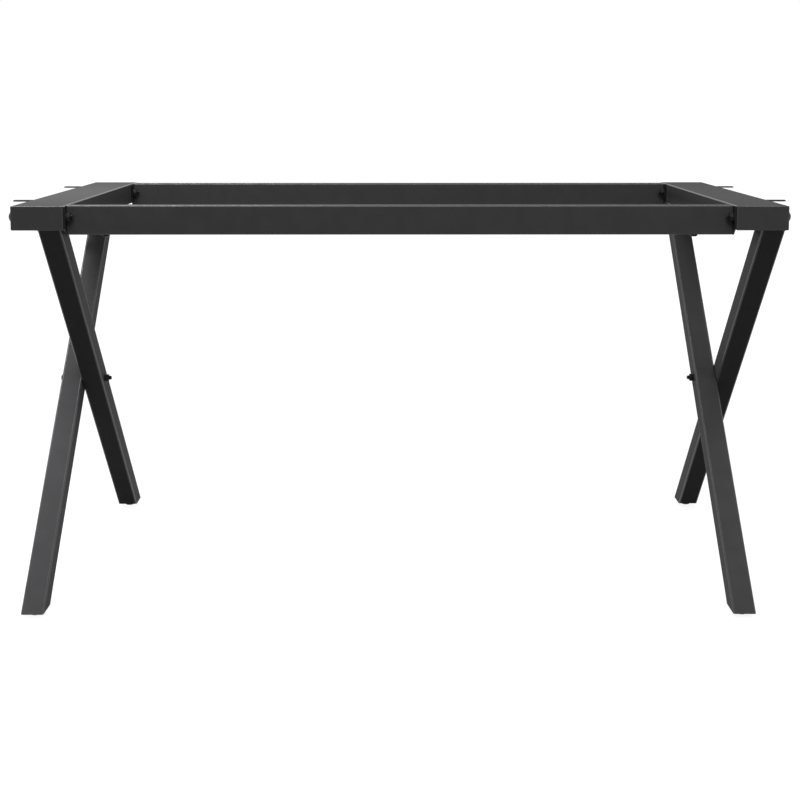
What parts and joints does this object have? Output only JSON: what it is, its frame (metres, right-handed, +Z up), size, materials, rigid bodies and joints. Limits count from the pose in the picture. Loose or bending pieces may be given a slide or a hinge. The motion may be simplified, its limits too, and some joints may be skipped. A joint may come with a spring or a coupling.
{
  "type": "table underframe with x-shaped legs",
  "caption": "Black steel table underframe: crossed square-tube legs under wide cross tubes, joined by long rails, with tabs for screwing on a table top.",
  "frame": {"origin": "on the floor, under the middle of the frame", "axes": "+X along the rails to the right as the picture shows it, +Y from the front to the back, +Z up"},
  "size_m": [1.4, 0.8, 0.72],
  "materials": {
    "powder_coat": "black powder coat, fine texture, satin",
    "black_steel": "black oxide, satin",
    "black_plastic": "moulded, matt"
  },
  "bodies": {
    "root": {"left_cross_tube": "powder_coat", "right_cross_tube": "powder_coat", "left_front_end_cap": "powder_coat", "left_back_end_cap": "powder_coat", "right_front_end_cap": "powder_coat", "right_back_end_cap": "powder_coat", "left_inner_leg": "powder_coat", "left_outer_leg": "powder_coat", "right_inner_leg": "powder_coat", "right_outer_leg": "powder_coat", "front_rail": "powder_coat", "back_rail": "powder_coat", "left_front_end_plate": "powder_coat", "left_back_end_plate": "powder_coat", "right_front_end_plate": "powder_coat", "right_back_end_plate": "powder_coat", "left_front_top_tab": "powder_coat", "left_back_top_tab": "powder_coat", "right_front_top_tab": "powder_coat", "right_back_top_tab": "powder_coat", "left_front_spigot": "powder_coat", "left_back_spigot": "powder_coat", "right_front_spigot": "powder_coat", "right_back_spigot": "powder_coat", "left_front_foot_plug": "black_plastic", "left_back_foot_plug": "black_plastic", "right_front_foot_plug": "black_plastic", "right_back_foot_plug": "black_plastic", "left_front_glide": "black_plastic", "left_back_glide": "black_plastic", "right_front_glide": "black_plastic", "right_back_glide": "black_plastic", "rail_bolts": "black_steel", "rail_washers": "black_steel", "rail_nuts": "black_steel", "rail_set_screws": "black_steel", "crossing_bolts": "black_steel", "crossing_washers": "black_steel", "crossing_nuts": "black_steel", "spigot_weld_nuts": "black_steel"}
  },
  "joints": []
}
